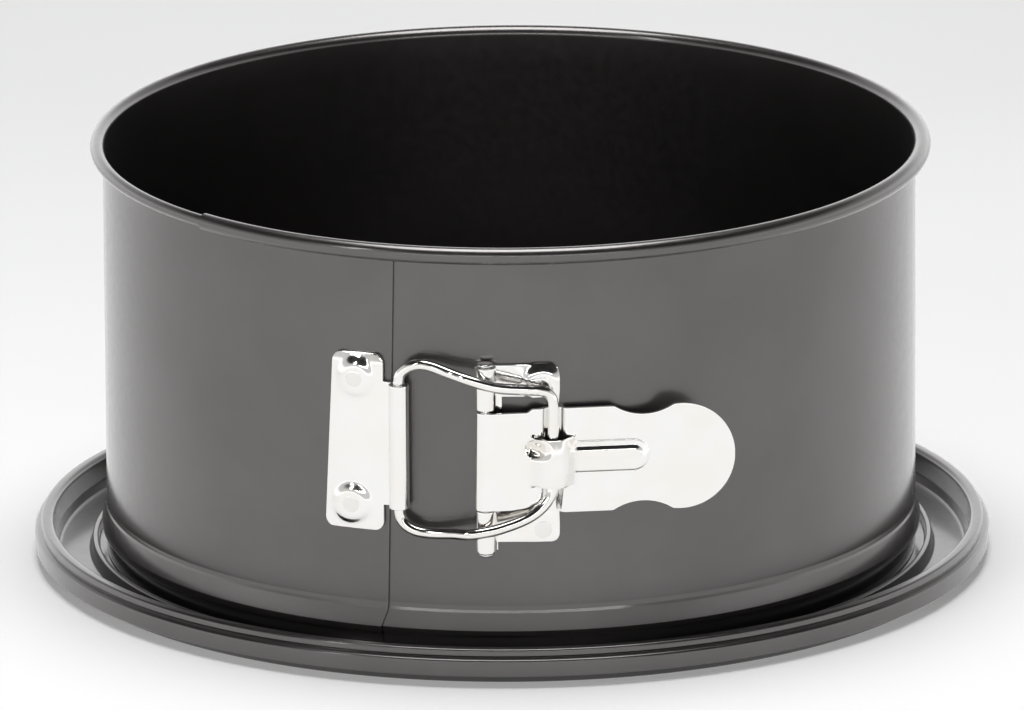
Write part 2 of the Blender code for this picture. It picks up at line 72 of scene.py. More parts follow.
LIP_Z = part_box("ring_band")[0].z
CURL_R = 1.9 * MM
INNER_END_AZ = -47.0
OUTER_END_AZ = 343.0
SPREAD_START_AZ = 225.0
SPREAD_END_AZ = 305.0
PLATEAU_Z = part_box("base_plate")[1].z
PLATE = 1.0 * MM
SEAT_GAP = 0.3 * MM
HINGE_PLATE_R = OUTER_FACE_OUT + SEAT_GAP + PLATE / 2
BRACKET_R = INNER_FACE_OUT + SEAT_GAP + PLATE / 2
BARREL_R = 2.1 * MM
PIN_R = 1.45 * MM
HINGE_POINT = Vector(JOINTS["bail_pivot"]["pos_m"])
PIVOT_POINT = Vector(JOINTS["lever_pivot"]["pos_m"])
WIRE_SEAT = Vector((10.2 * MM, -104.2 * MM))
LEVER_TILT = math.radians(9.5)
LATCH_Z = PIVOT_POINT.z
HINGE_Z = HINGE_POINT.z
PLATE_HALF_HEIGHT = 22.3 * MM
RIVET_HEAD_R = 2.2 * MM
RIVET_SPREAD = 16.0 * MM
HINGE_RIVET_AZ = -22.1
BRACKET_RIVET_AZ = 4.3
BRACKET_RIVET_SPREAD = 18.4 * MM

# ---- Sizes of the looks alone, a little off the CAD's or finer than it --------------------
KNUCKLE_R = 2.0 * MM              # 0.1 mm more than the CAD's
WIRE_R = 1.38 * MM                # 0.13 mm more than the CAD's
BOSS_R = 5.6 * MM                 # swelling of a plate round a rivet
BOSS_FLAT_R = 2.9 * MM
BOSS_HEIGHT = 0.95 * MM
LOW_BOSS_HEIGHT = 0.25 * MM       # at the bracket's lower rivet
BOSS_SINK = 0.35                  # how far a rivet sits down in its boss, in mm


# ---- Mesh helpers ------------------------------------------------------------------------
def new_object(name, mesh, materials):
    """Puts a mesh in the scene with its materials."""
    made = bpy.data.objects.new(name, mesh)
    bpy.context.scene.collection.objects.link(made)
    mesh.materials.clear()
    for item in materials:
        mesh.materials.append(item)
    return made


def finish_mesh(work, name, sharp_degrees=38):
    """Closes a bmesh into a smooth-shaded mesh; edges past the angle stay sharp."""
    mesh = bpy.data.meshes.new(name)
    bmesh.ops.recalc_face_normals(work, faces=work.faces)
    work.to_mesh(mesh)
    work.free()
    mesh.shade_smooth()
    mesh.set_sharp_from_angle(angle=math.radians(sharp_degrees))
    return mesh


def smooth_step(t):
    """0 below 0, 1 above 1, and an S-curve between."""
    t = min(1.0, max(0.0, t))
    return t * t * (3 - 2 * t)


def rise_and_fall(x, start, full, fall, end):
    """0 before start, 1 between full and fall, 0 after end, smooth between."""
    up = smooth_step((x - start) / (full - start))
    down = smooth_step((end - x) / (end - fall))
    return up * down


def plan_point(radius, azimuth):
    """Point seen from above, at a radius and an azimuth from the front."""
    angle = math.radians(azimuth)
    return Vector((radius * math.sin(angle), -radius * math.cos(angle)))


def arc(centre, radius, start, stop, segments):
    """Points on an arc between two angles in degrees, counted from +X."""
    centre = Vector(centre)
    points = []
    for i in range(segments + 1):
        angle = math.radians(start + (stop - start) * i / segments)
        points.append(centre + radius * Vector((math.cos(angle), math.sin(angle))))
    return points


def filleted(corners, segments=6):
    """A path through (x, y, corner radius) points, with each corner rounded, in metres."""
    path = []
    last = len(corners) - 1
    for i, (x, y, radius) in enumerate(corners):
        here = Vector((x, y)) * MM
        if i in (0, last) or radius == 0:
            path.append(here)
            continue
        before = Vector(corners[i - 1][:2]) * MM
        after = Vector(corners[i + 1][:2]) * MM
        back = (before - here).normalized()
        ahead = (after - here).normalized()
        half = back.angle(ahead) / 2
        reach = radius * MM / math.tan(half)
        reach = min(reach, 0.49 * (before - here).length, 0.49 * (after - here).length)
        start = here + back * reach
        stop = here + ahead * reach
        for k in range(segments + 1):
            t = k / segments
            path.append(start * (1 - t) ** 2 + here * 2 * t * (1 - t) + stop * t * t)
    return path


def path_normals(path):
    """Left-hand unit normals of an open path, stretched at corners to keep the width."""
    normals = []
    for i, point in enumerate(path):
        before = (point - path[i - 1]).normalized() if i else None
        after = (path[i + 1] - point).normalized() if i + 1 < len(path) else None
        first = before or after
        second = after or before
        middle = (first + second).normalized()
        stretch = 1.0 / max(0.6, middle.dot(first))
        normals.append(Vector((-middle.y, middle.x)) * stretch)
    return normals


def turned_mesh(name, profile, steps, sharp_degrees=38):
    """A profile of (radius, height) turned about +Z; ends at radius 0 close to a point."""
    work = bmesh.new()
    columns = []
    poles = {}
    for step in range(steps):
        angle = 2 * math.pi * step / steps
        column = []
        for i, (radius, height) in enumerate(profile):
            if radius < 1e-9:
                if i not in poles:
                    poles[i] = work.verts.new((0, 0, height))
                column.append(poles[i])
            else:
                place = (radius * math.sin(angle), -radius * math.cos(angle), height)
                column.append(work.verts.new(place))
        columns.append(column)
    for step in range(steps):
        here = columns[step]
        there = columns[(step + 1) % steps]
        for i in range(len(profile) - 1):
            ring = [here[i], there[i], there[i + 1], here[i + 1]]
            corners = list(dict.fromkeys(ring))
            if len(corners) > 2:
                work.faces.new(corners)
    return finish_mesh(work, name, sharp_degrees)


def tube_mesh(name, route, radius, sides):
    """A round wire along a route, its ends closed flat."""
    work = bmesh.new()
    rings = []
    across = Vector((0, -1, 0))
    last = len(route) - 1
    for i, place in enumerate(route):
        ahead = (route[min(i + 1, last)] - route[max(i - 1, 0)]).normalized()
        across = (across - ahead * across.dot(ahead)).normalized()
        other = ahead.cross(across)
        ring = []
        for k in range(sides):
            angle = 2 * math.pi * k / sides
            spoke = across * math.cos(angle) + other * math.sin(angle)
            ring.append(work.verts.new(place + spoke * radius))
        rings.append(ring)
    for ring, following in zip(rings, rings[1:]):
        for k in range(sides):
            m = (k + 1) % sides
            work.faces.new((ring[k], ring[m], following[m], following[k]))
    for ring, place in ((rings[0], route[0]), (rings[-1], route[-1])):
        middle = work.verts.new(place)
        for k in range(sides):
            work.faces.new((ring[k], ring[(k + 1) % sides], middle))
    return finish_mesh(work, name)


def sheet_object(name, columns, skip, thickness, edge, materials, even=True):
    """A bent sheet from columns of middle-surface points, with thickness and soft edges.

    columns[i][j] is a point, or a pair of points where the sheet is slit along row j, the
    first for the faces before the row and the second for those after it.  skip(i, j) says
    that there is no face between columns i, i + 1 and rows j, j + 1.
    """
    work = bmesh.new()
    verts = []
    for column in columns:
        made = []
        for item in column:
            if isinstance(item, tuple):
                made.append((work.verts.new(item[0]), work.verts.new(item[1])))
            else:
                vert = work.verts.new(item)
                made.append((vert, vert))
        verts.append(made)
    for i in range(len(columns) - 1):
        for j in range(len(columns[0]) - 1):
            if skip(i, j):
                continue
            work.faces.new((verts[i][j][1], verts[i + 1][j][1],
                            verts[i + 1][j + 1][0], verts[i][j + 1][0]))
    loose = [vert for vert in work.verts if not vert.link_faces]
    bmesh.ops.delete(work, geom=loose, context="VERTS")
    mesh = bpy.data.meshes.new(name)
    work.to_mesh(mesh)
    work.free()
    made = new_object(name, mesh, materials)
    solid = made.modifiers.new("thickness", "SOLIDIFY")
    solid.thickness = thickness
    solid.offset = 0.0
    solid.use_even_offset = even
    soften = made.modifiers.new("edges", "BEVEL")
    soften.width = edge
    soften.segments = 2
    soften.limit_method = "ANGLE"
    soften.angle_limit = math.radians(50)
    bpy.context.view_layer.update()
    graph = bpy.context.evaluated_depsgraph_get()
    solid_mesh = bpy.data.meshes.new_from_object(made.evaluated_get(graph))
    made.modifiers.clear()
    made.data = solid_mesh
    solid_mesh.shade_smooth()
    solid_mesh.set_sharp_from_angle(angle=math.radians(45))
    return made


# ---- Node material helpers ---------------------------------------------------------------
class Nodes:
    """A short way to build a material's node tree."""

    def __init__(self, name):
        self.material = bpy.data.materials.new(name)
        self.material.use_nodes = True
        self.tree = self.material.node_tree
        self.shader = self.tree.nodes["Principled BSDF"]

    def add(self, kind, **values):
        node = self.tree.nodes.new(kind)
        for key, value in values.items():
            if key in node.inputs:
                node.inputs[key].default_value = value
            else:
                setattr(node, key, value)
        return node

    def link(self, output, target):
        self.tree.links.new(output, target)

    def noise(self, scale, detail=4.0, roughness=0.55, vector=None):
        node = self.add("ShaderNodeTexNoise", Scale=scale, Detail=detail, Roughness=roughness)
        if vector:
            self.link(vector, node.inputs["Vector"])
        return node.outputs["Fac"]

    def span(self, factor, low, high, from_low=0.35, from_high=0.65):
        node = self.add("ShaderNodeMapRange")
        node.inputs["From Min"].default_value = from_low
        node.inputs["From Max"].default_value = from_high
        node.inputs["To Min"].default_value = low
        node.inputs["To Max"].default_value = high
        self.link(factor, node.inputs["Value"])
        return node.outputs["Result"]

    def blend_colours(self, factor, first, second):
        node = self.add("ShaderNodeMix", data_type="RGBA")
        node.inputs[6].default_value = (*first, 1)
        node.inputs[7].default_value = (*second, 1)
        self.link(factor, node.inputs[0])
        return node.outputs[2]

    def bump(self, height, strength, distance, below=None):
        node = self.add("ShaderNodeBump", Strength=strength, Distance=distance)
        self.link(height, node.inputs["Height"])
        if below:
            self.link(below, node.inputs["Normal"])
        return node.outputs["Normal"]

    def object_place(self, scale=(1, 1, 1)):
        place = self.add("ShaderNodeTexCoord").outputs["Object"]
        mapping = self.add("ShaderNodeMapping")
        mapping.inputs["Scale"].default_value = scale
        self.link(place, mapping.inputs["Vector"])
        return mapping.outputs["Vector"]


COATING_METALLIC = 0.97           # the rest is a faint dull body colour
COATING_GLOSS_ROUGHNESS = 0.14    # of the clear layer on top
NICKEL_TINT = (1.0, 0.98, 0.945)  # the warmer patches of the plating


def coating(name, dark, light, roughness):
    """Satin non-stick coating: fine grain, faint clouding and a soft sheen."""
    nodes = Nodes(name)
    place = nodes.object_place()
    grain = nodes.noise(5200.0, 2.0, 0.6, place)
    cloud = nodes.noise(38.0, 3.0, 0.5, place)
    speckle = nodes.noise(420.0, 3.0, 0.6, place)
    colour = nodes.blend_colours(nodes.span(cloud, 0, 1), dark, light)
    nodes.link(colour, nodes.shader.inputs["Base Color"])
    rough = nodes.span(speckle, roughness - 0.02, roughness + 0.02)
    nodes.link(rough, nodes.shader.inputs["Roughness"])
    nodes.shader.inputs["Metallic"].default_value = COATING_METALLIC
    nodes.shader.inputs["Coat Weight"].default_value = 1.0
    nodes.shader.inputs["Coat Roughness"].default_value = COATING_GLOSS_ROUGHNESS
    nodes.link(nodes.bump(grain, 0.2, 0.00003), nodes.shader.inputs["Normal"])
    return nodes.material


def bright_nickel(name, colour, roughness, wave):
    """Plated steel: near mirror, with a faint waviness and hairline marks."""
    nodes = Nodes(name)
    place = nodes.object_place()
    cloud = nodes.noise(120.0, 3.0, 0.5, place)
    hair = nodes.noise(900.0, 4.0, 0.7, nodes.object_place((1, 1, 0.06)))
    wavy = nodes.noise(210.0, 2.0, 0.5, place)
    warm = tuple(channel * share for channel, share in zip(colour, NICKEL_TINT))
    nodes.link(nodes.blend_colours(nodes.span(cloud, 0, 1), colour, warm),
               nodes.shader.inputs["Base Color"])
    nodes.link(nodes.span(hair, roughness, roughness + 0.09),
               nodes.shader.inputs["Roughness"])
    nodes.shader.inputs["Metallic"].default_value = 1.0
    fine = nodes.bump(hair, 0.05, 0.00002)
    nodes.link(nodes.bump(wavy, wave, 0.0001, fine), nodes.shader.inputs["Normal"])
    return nodes.material


# ---- Base --------------------------------------------------------------------------------
def base_profile():
    """Section of the pressed base, round from the middle of its top to its underside."""
    plateau = PLATEAU_Z / MM
    top = [(0, plateau, 0), (60, plateau, 0), (99.3, plateau, 1.1),
           (100.6, plateau - 1.1, 0.7), (99.4, plateau - 2.4, 0.6), (99.4, 2.2, 0.4),
           (102.7, 2.2, 0.35), (103.0, 4.6, 0.55), (104.4, 4.6, 0.7), (104.9, 0.9, 0.7),
           (112.9, 0.9, 1.3), (113.9, 3.6, 2.0), (114.0, 9.45, 1.4), (117.2, 9.45, 1.5),
           (117.3, 7.75, 0.5), (117.0, 7.3, 0.12), (118.75, 7.1, 1.3), (118.7, 2.9, 0.5)]
    under = [(118.0, 2.7, 0.25), (117.8, 6.0, 0.6), (116.0, 6.7, 0.4), (116.3, 8.45, 0.6),
             (114.9, 8.45, 0.6), (114.9, 2.0, 0.9), (113.6, 0.0, 0.9), (104.5, 0.0, 0.6),
             (103.9, 3.5, 0.3), (103.6, 3.5, 0.2), (103.2, 1.3, 0.4), (98.6, 1.3, 0.5),
             (98.4, plateau - 1.0, 0.8), (60, plateau - 0.9, 0), (0, plateau - 0.9, 0)]
    return filleted(top + under)


def build_base(finish):
    mesh = turned_mesh("base_pressing", base_profile(), 240)
    made = new_object("base_pressing", mesh, [finish])
    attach(made, "base")
    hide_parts("base_plate")


# ---- Ring band ---------------------------------------------------------------------------
def band_centreline():
    """The strip's section as (r, z) points, from its lower lip up and round the rolled rim."""
    r = CENTRE_R / MM
    lower = [(r, LIP_Z / MM, 0), (r, 7.7, 0.4), (r + 1.2, 8.0, 0.4), (r + 1.18, 9.3, 0.3),
             (r + 0.32, 13.6, 0.3), (r + 0.1, 14.3, 0.3), (r, 15.4, 0.3), (r, 22.0, 0.0)]
    path = filleted(lower, 7)
    curl_z = RIM_TOP_Z - CURL_R - SHEET / 2
    wall_start = path[-1].y
    for i in range(1, 12):
        path.append(Vector((CENTRE_R, wall_start + (curl_z - wall_start) * i / 12)))
    return path + arc((CENTRE_R + CURL_R, curl_z), CURL_R, 180, -118, 36)


def layer_offset(azimuth):
    """How far the strip has moved out to the outer layer, at an azimuth."""
    share = (azimuth - SPREAD_START_AZ) / (SPREAD_END_AZ - SPREAD_START_AZ)
    return LAYER_STEP * smooth_step(share)


EDGE_LEAN = 0.65                  # lean of the outer layer's free edge, in degrees
EDGE_TUCK = 0.75                  # and how far it is cut back below the bead's crest
EDGE_BLEND = 6                    # the degrees of azimuth over which the lean fades in


def outer_edge_shift(height):
    """How far the outer layer's free edge is turned, in degrees, at a height."""
    lean = EDGE_LEAN * (height - LATCH_Z) / (RIM_TOP_Z / 2)
    tucked = -EDGE_TUCK * smooth_step((11.8 * MM - height) / (1.6 * MM))
    return lean + tucked


def build_band_piece(name, first_az, last_az, step, finish):
    """Part of the strip between two azimuths; only the strip's real ends are closed."""
    path = band_centreline()
    outward = [-normal for normal in path_normals(path)]
    stations = round((last_az - first_az) / step)
    work = bmesh.new()
    rings = []
    for i in range(stations + 1):
        azimuth = first_az + (last_az - first_az) * i / stations
        near_end = smooth_step((azimuth - (OUTER_END_AZ - EDGE_BLEND)) / EDGE_BLEND)
        offset = layer_offset(azimuth)
        outer = [p + n * (offset + SHEET / 2) for p, n in zip(path, outward)]
        inner = [p + n * (offset - SHEET / 2) for p, n in zip(path, outward)]
        ring = []
        for radius, height in outer + inner[::-1]:
            shift = near_end * outer_edge_shift(height)
            plan = plan_point(radius, azimuth + shift)
            ring.append(work.verts.new((plan.x, plan.y, height)))
        rings.append(ring)
    count = len(rings[0])
    half = count // 2
    for ring, following in zip(rings, rings[1:]):
        for j in range(count):
            k = (j + 1) % count
            work.faces.new((ring[j], ring[k], following[k], following[j]))
    for ring, azimuth in ((rings[0], first_az), (rings[-1], last_az)):
        if azimuth in (INNER_END_AZ, OUTER_END_AZ):
            for j in range(half - 1):
                work.faces.new((ring[j], ring[j + 1], ring[count - 2 - j],
                                ring[count - 1 - j]))
    mesh = finish_mesh(work, name, 50)
    normals_from_section(mesh)
    made = new_object(name, mesh, [finish])
    return made


def normals_from_section(mesh):
    """Keeps the shading round where pieces of the strip meet, by pointing their end normals
    straight along the section's plane."""
    normals = [Vector(item.vector) for item in mesh.corner_normals]
    for polygon in mesh.polygons:
        for loop_index in polygon.loop_indices:
            place = mesh.vertices[mesh.loops[loop_index].vertex_index].co
            spoke = Vector((place.x, place.y, 0)).normalized()
            along = Vector((-spoke.y, spoke.x, 0))
            normal = normals[loop_index]
            if abs(normal.dot(along)) < 0.2:
                normals[loop_index] = (normal - along * normal.dot(along)).normalized()
    mesh.normals_split_custom_set(normals)


def build_band(finish):
    """The strip in three lengths: fixed half, back, and the free outer end."""
    step = 1.5
    right = build_band_piece("band_right_half", INNER_END_AZ, 90.0, step, finish)
    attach(right, "ring")
    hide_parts("ring_band")
    back = build_band_piece("band_back", 90.0, 270.0, step, finish)
    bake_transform(back)
    left = build_band_piece("band_free_end", 270.0, OUTER_END_AZ, step, finish)
    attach(left, "band_end")


# ---- Hinge plate -------------------------------------------------------------------------
def curl_points(centre, radius, start_direction, turn, sweep, segments):
    """Rolled end of a plate: an arc that starts in a direction and turns +1 or -1 way."""
    start = math.degrees(math.atan2(start_direction.y, start_direction.x))
    return arc(centre, radius, start, start + turn * sweep, segments)


def boss(x, z, centre_x, centre_z, height):
    """A shallow round swelling of the sheet round a rivet, flat in its middle."""
    distance = math.hypot(x - centre_x, z - centre_z)
    return height * smooth_step((BOSS_R - distance) / (BOSS_R - BOSS_FLAT_R))


def corner_half(distance, half, radius):
    """Half-height of a plate with round corners, at a distance from its end."""
    if distance >= radius:
        return half
    gap = radius - max(0.0, distance)
    return half - radius + math.sqrt(max(0.0, radius * radius - gap * gap))


def even_steps(start, stop, count):
    """Equal steps, both ends included."""
    return [start + (stop - start) * i / count for i in range(count + 1)]


def end_steps(start, stop, count):
    """Steps that close up towards the start, to follow a round corner."""
    return [start + (stop - start) * (i / count) ** 1.8 for i in range(count + 1)]


def build_hinge_plate(nickel):
    """Plate that follows the wall, with round corners, and a rolled knuckle on its tab."""
    left_x = -44.3 * MM
    tab_x = -31.1 * MM
    tab_half = 15.65 * MM
    corner = 2.2 * MM
    top_turn = 0.7 * MM               # the upper edge bends in towards the wall
    lean = 0.05                       # the left edge leans, the tab's edge doesn't
    outer_steps = 14
    left_az = math.degrees(math.asin(left_x / HINGE_PLATE_R))
    tab_az = math.degrees(math.asin(tab_x / HINGE_PLATE_R))
    hinge_az = math.degrees(math.atan2(HINGE_POINT.x, -HINGE_POINT.y))
    corner_az = math.degrees(corner / HINGE_PLATE_R)
    azimuths = end_steps(left_az, left_az + corner_az, 6)
    azimuths += even_steps(left_az + corner_az, tab_az - corner_az, 22)[1:]
    azimuths += [tab_az - a + left_az for a in end_steps(left_az, left_az + corner_az, 6)
                 ][::-1][1:]
    plan = [plan_point(HINGE_PLATE_R, az) for az in azimuths]
    tab_column = len(plan) - 1
    plan += [plan_point(HINGE_PLATE_R, az) for az in even_steps(tab_az, hinge_az, 3)[1:]]
    plan += curl_points(HINGE_POINT.xy, KNUCKLE_R, -HINGE_POINT.xy, -1, 300, 40)[1:]
    normals = path_normals(plan)
    # rows: the tab's edges fall on rows, the plate's edges on the outermost ones
    outer_rows = even_steps(tab_half, PLATE_HALF_HEIGHT, outer_steps)
    rows = [-z for z in outer_rows[::-1]] + even_steps(-tab_half, tab_half, 48)[1:-1]
    rows += outer_rows
    lower_tab = outer_steps
    upper_tab = len(rows) - 1 - outer_steps
    rivet_x = math.radians(HINGE_RIVET_AZ) * HINGE_PLATE_R
    columns = []
    for i, place in enumerate(plan):
        column = []
        on_plate = i <= tab_column
        along = math.radians(azimuths[i]) * HINGE_PLATE_R if on_plate else 0.0
        if on_plate:
            from_left = along - math.radians(left_az) * HINGE_PLATE_R
            to_right = math.radians(tab_az) * HINGE_PLATE_R - along
            half = min(corner_half(from_left, PLATE_HALF_HEIGHT, corner),
                       corner_half(to_right, PLATE_HALF_HEIGHT, corner))
        for z in rows:
            out = 0.0
            shift = 0.0
            if on_plate:
                z = max(-half, min(half, z)) if abs(z) > tab_half else z
                for side in (1, -1):
                    out += boss(along, z, rivet_x, side * RIVET_SPREAD, BOSS_HEIGHT)
                out -= top_turn * smooth_step((z - 18.6 * MM) / (4.5 * MM)) ** 2
                shift = lean * z * smooth_step(to_right / (9 * MM))
            flat = place - normals[i] * out
            angle = shift / HINGE_PLATE_R
            turned = Matrix.Rotation(angle, 2) @ flat
            column.append(Vector((turned.x, turned.y, HINGE_Z + z)))
        columns.append(column)

    def skip(i, j):
        if i >= tab_column:
            return j < lower_tab or j >= upper_tab
        first, second = columns[i][j], columns[i][j + 1]
        other, opposite = columns[i + 1][j], columns[i + 1][j + 1]
        return (first - second).length < 1e-6 or (other - opposite).length < 1e-6

    made = sheet_object("hinge_plate_formed", columns, skip, PLATE, 0.16 * MM, [nickel])
    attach(made, "band_end")
    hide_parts("hinge_plate")


# ---- Bracket -----------------------------------------------------------------------------
def build_bracket(nickel):
    """Plate on the right-hand strip with two barrels that hold the lever's pin."""
    right_x = 11.5 * MM
    spine_left_x = -3.4 * MM
    window_left_x = -2.3 * MM
    window_right_x = 9.1 * MM
    window_low = -12.9 * MM
    window_high = 15.5 * MM
    barrel_inner = 12.9 * MM
    barrel_outer = 23.4 * MM
    plate_low = -21.4 * MM
    corner = 2.0 * MM
    top_turn = 0.4 * MM               # the upper edge bends in towards the wall

    def azimuth_at(x):
        return math.degrees(math.asin(x / BRACKET_R))

    right_az = azimuth_at(right_x)
    corner_az = math.degrees(corner / BRACKET_R)
    pivot_az = math.degrees(math.atan2(PIVOT_POINT.x, -PIVOT_POINT.y))
    azimuths = [2 * right_az - a for a in end_steps(right_az, right_az + corner_az, 6)]
    azimuths += even_steps(right_az - corner_az, azimuth_at(window_right_x), 2)[1:]
    window_start = len(azimuths) - 1
    azimuths += even_steps(azimuths[-1], azimuth_at(window_left_x), 26)[1:]
    window_end = len(azimuths) - 1
    azimuths += even_steps(azimuths[-1], azimuth_at(spine_left_x), 2)[1:]
    spine_column = len(azimuths) - 1
    azimuths += even_steps(azimuths[-1], pivot_az, 4)[1:]
    plan = [plan_point(BRACKET_R, az) for az in azimuths]
    plan += curl_points(PIVOT_POINT.xy, BARREL_R, -PIVOT_POINT.xy, 1, 305, 40)[1:]
    normals = path_normals(plan)
    rows = even_steps(-barrel_outer, plate_low, 4)
    plate_row = len(rows) - 1
    rows += even_steps(plate_low, window_low, 14)[1:]
    window_low_row = len(rows) - 1
    rows += even_steps(window_low, barrel_inner, 20)[1:]
    barrel_row = len(rows) - 1
    rows += even_steps(barrel_inner, window_high, 5)[1:]
    window_high_row = len(rows) - 1
    rows += even_steps(window_high, barrel_outer, 16)[1:]
    rivet_x = math.radians(BRACKET_RIVET_AZ) * BRACKET_R
    columns = []
    for i, place in enumerate(plan):
        column = []
        on_plate = i < spine_column
        along = math.radians(azimuths[i]) * BRACKET_R if on_plate else 0.0
        if on_plate:
            to_edge = math.radians(right_az) * BRACKET_R - along
            inset = barrel_outer - corner_half(to_edge, barrel_outer, corner)
        for z in rows:
            out = 0.0
            if on_plate:
                z = min(barrel_outer - inset, z)
                if z >= plate_low - 1e-9:
                    z = max(plate_low + inset, z)
                out += boss(along, z, rivet_x, BRACKET_RIVET_SPREAD, BOSS_HEIGHT)
                out += boss(along, z, rivet_x, -BRACKET_RIVET_SPREAD, LOW_BOSS_HEIGHT)
                edge = smooth_step((z - 19.5 * MM) / (5.0 * MM)) ** 2
                out -= top_turn * edge * smooth_step((along + 1 * MM) / (4 * MM))
            flat = place + normals[i] * out
            column.append(Vector((flat.x, flat.y, LATCH_Z + z)))
        columns.append(column)

    def skip(i, j):
        if i >= spine_column and window_low_row <= j < barrel_row:
            return True
        if i < spine_column and j < plate_row:
            return True
        if window_start <= i < window_end and window_low_row <= j < window_high_row:
            return True
        first, second = columns[i][j], columns[i][j + 1]
        other, opposite = columns[i + 1][j], columns[i + 1][j + 1]
        return (first - second).length < 1e-6 or (other - opposite).length < 1e-6

    made = sheet_object("bracket_formed", columns, skip, PLATE, 0.16 * MM, [nickel])
    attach(made, "ring")
    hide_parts("lever_bracket")


# ---- Lever -------------------------------------------------------------------------------
LEVER_BARREL_STRETCH = 1.02       # the lever's barrel is a little wider than the others
LEVER_BARREL_SHIFT = 0.08 * MM
LEVER_SAG = math.radians(0.8)     # turned down and lowered a touch against the CAD lever
LEVER_DROP = 0.2 * MM
PADDLE_X = 47.9 * MM
PADDLE_R = 13.35 * MM
LEVER_HALF = 12.3 * MM
LEVER_WIDE_HALF = 13.2 * MM
NOTCH_START_X = 31.2 * MM
NOTCH_END_X = 46.0 * MM
NOTCH_NECK_R = 13.5 * MM
BRIDGE_START_X = 11.6 * MM
BRIDGE_END_X = 21.4 * MM
BRIDGE_HALF = 6.0 * MM
BRIDGE_RISE = 4.3 * MM
GROOVE_DEPTH = 1.7 * MM
RIB_END_X = 36.0 * MM             # middle of the rib's round end
RIB_MIDDLE_Z = 0.9 * MM
DENT_X = 12.0 * MM
DENT_Z = 3.2 * MM
DENT_DEPTH = 1.9 * MM
DENT_R = 3.1 * MM
DENT_SLOPE = 2.6 * MM             # width of the dent's sloping side


def lever_half(x):
    """Half-height of the lever at a distance along it from its pivot."""
    if x < NOTCH_START_X:
        return LEVER_HALF + (LEVER_WIDE_HALF - LEVER_HALF) * smooth_step(
            (x - 9.6 * MM) / (1.6 * MM))
    if x > NOTCH_END_X:
        return math.sqrt(max(0.0, PADDLE_R ** 2 - (x - PADDLE_X) ** 2))
    start = Vector((NOTCH_START_X, LEVER_WIDE_HALF))
    reach = NOTCH_END_X - PADDLE_X
    stop = Vector((NOTCH_END_X, math.sqrt(PADDLE_R ** 2 - reach ** 2)))
    chord = stop - start
    rise = math.sqrt(NOTCH_NECK_R ** 2 - (chord.length / 2) ** 2)
    centre = (start + stop) / 2 + Vector((-chord.y, chord.x)).normalized() * rise
    return centre.y - math.sqrt(NOTCH_NECK_R ** 2 - (x - centre.x) ** 2)


def groove_depth(x):
    """How far the sheet dips under the wire, outside the bridge."""
    return GROOVE_DEPTH * rise_and_fall(x / MM, 13.2, 15.2, 17.1, 19.6)


def bridge_height(x, z):
    """How far the middle of the sheet domes out over the wire."""
    along = rise_and_fall(x / MM, 9.8, 14.9, 17.4, 22.4)
    crown = 1.0 - 0.16 * (z / BRIDGE_HALF) ** 2
    return BRIDGE_RISE * along * crown


def rib_section(z):
    """Height of the rib across its width: a small outer step, then the raised part."""
    z /= MM
    outer = 0.18 * smooth_step((4.9 - z) / 0.6)
    raised = 0.62 * smooth_step((3.4 - z) / 1.3)
    crest = 0.12 * smooth_step((0.9 - z) / 0.5)
    foot = smooth_step((z + 3.0) / 0.4)
    return MM * (outer + raised - crest) * foot


def rib_height(x, z):
    """The rib from the bridge into the handle, with a round end."""
    start = smooth_step((x / MM - 18.0) / 4.0)
    if x <= RIB_END_X:
        return rib_section(z) * start
    radius = math.hypot(x - RIB_END_X, z - RIB_MIDDLE_Z)
    share = smooth_step(0.5 + 0.5 * (z - RIB_MIDDLE_Z) / radius)
    above = rib_section(RIB_MIDDLE_Z + radius)
    below = rib_section(RIB_MIDDLE_Z - radius)
    return above * share + below * (1 - share)


def dent_depth(x, z):
    """The dent beside the bridge's upper corner."""
    distance = math.hypot((x - DENT_X) / 1.1, z - DENT_Z)
    return DENT_DEPTH * smooth_step((DENT_R - distance) / DENT_SLOPE)


def lever_columns():
    """Middle-surface points of the lever in its own frame, barrel first, then the flat."""
    flat_y = -BARREL_R
    columns = []
    barrel = arc((0, 0), BARREL_R, 22, 270, 34)
    for place in barrel[:-1]:
        x = place.x * LEVER_BARREL_STRETCH - LEVER_BARREL_SHIFT
        columns.append([Vector((x, place.y, z)) for z in lever_rows(LEVER_HALF)])
    stations = even_steps(0.0, 9.0, 9) + even_steps(9.0, 24.0, 60)[1:]
    stations += even_steps(24.0, 50.0, 60)[1:]
    reach = (PADDLE_X + PADDLE_R) / MM - 50.03
    stations += [50.0 + reach * math.sin(math.pi / 2 * i / 26) for i in range(1, 27)]
    for x_mm in stations:
        x = x_mm * MM
        column = []
        for z in lever_rows(lever_half(x)):
            middle = bridge_height(x, z) + rib_height(x, z) - dent_depth(x, z)
            side = rib_height(x, z) - groove_depth(x)
            if abs(z) > BRIDGE_HALF:
                side -= dent_depth(x, z)
            slit = abs(abs(z) - BRIDGE_HALF) < 1e-7 and BRIDGE_START_X < x < BRIDGE_END_X
            if slit:
                points = (Vector((x, flat_y - side, z)), Vector((x, flat_y - middle, z)))
                column.append(points if z < 0 else points[::-1])
            elif abs(z) < BRIDGE_HALF + 1e-7:
                column.append(Vector((x, flat_y - middle, z)))
            else:
                column.append(Vector((x, flat_y - side, z)))
        columns.append(column)
    return columns


def lever_rows(half):
    """Rows from bottom to top; near the tip, where the lever is narrow, they squeeze in."""
    squeeze = min(1.0, half / (7.0 * MM))
    upper = [z * squeeze for z in even_steps(0.0, BRIDGE_HALF, 20)]
    upper += even_steps(upper[-1], half, 12)[1:]
    return [-z for z in upper[:0:-1]] + upper


